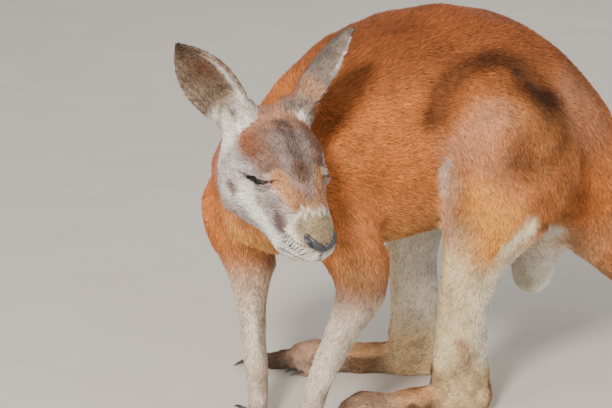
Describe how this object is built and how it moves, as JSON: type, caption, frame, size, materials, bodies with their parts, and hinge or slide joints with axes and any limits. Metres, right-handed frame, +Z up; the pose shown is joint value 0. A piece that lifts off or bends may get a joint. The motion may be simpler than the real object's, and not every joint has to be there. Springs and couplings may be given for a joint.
{
  "type": "red kangaroo",
  "caption": "Life-size still male red kangaroo on all fours, head turned back over its left side, eyes nearly shut, tail laid on the floor.",
  "frame": {"origin": "on the floor below the middle of the model's box", "axes": "+X from the hips towards the tail, -X the way the pelvis faces, -Y the animal's left side, +Z up"},
  "size_m": [1.3288, 0.5438, 0.5751],
  "materials": {
    "coat": "short dense fur, rust red on the body, grey on the face, cream on the limbs",
    "claw": "black horn with a dull sheen",
    "nose": "naked grey-black skin, finely pebbled, slightly moist",
    "eye": "wet, near-black brown"
  },
  "bodies": {
    "root": {"head": "coat", "nose_pad": "nose", "eye_l": "eye", "ear_l": "coat", "eye_r": "eye", "ear_r": "coat", "thigh_l": "coat", "shank_l": "coat", "foot_l": "coat", "claw_toe5_l": "claw", "claw_toe4_l": "claw", "claw_toe3_l": "claw", "claw_toe2_l": "claw", "thigh_r": "coat", "shank_r": "coat", "foot_r": "coat", "claw_toe5_r": "claw", "claw_toe4_r": "claw", "claw_toe3_r": "claw", "claw_toe2_r": "claw", "upper_arm_l": "coat", "forearm_l": "coat", "hand_l": "coat", "claw_finger1_l": "claw", "claw_finger2_l": "claw", "claw_finger3_l": "claw", "claw_finger4_l": "claw", "claw_finger5_l": "claw", "upper_arm_r": "coat", "forearm_r": "coat", "hand_r": "coat", "claw_finger1_r": "claw", "claw_finger2_r": "claw", "claw_finger3_r": "claw", "claw_finger4_r": "claw", "claw_finger5_r": "claw", "neck": "coat", "trunk": "coat", "tail_root": "coat", "tail_upper": "coat", "tail_lower": "coat", "tail_tip": "coat", "scrotum": "coat"}
  },
  "joints": []
}
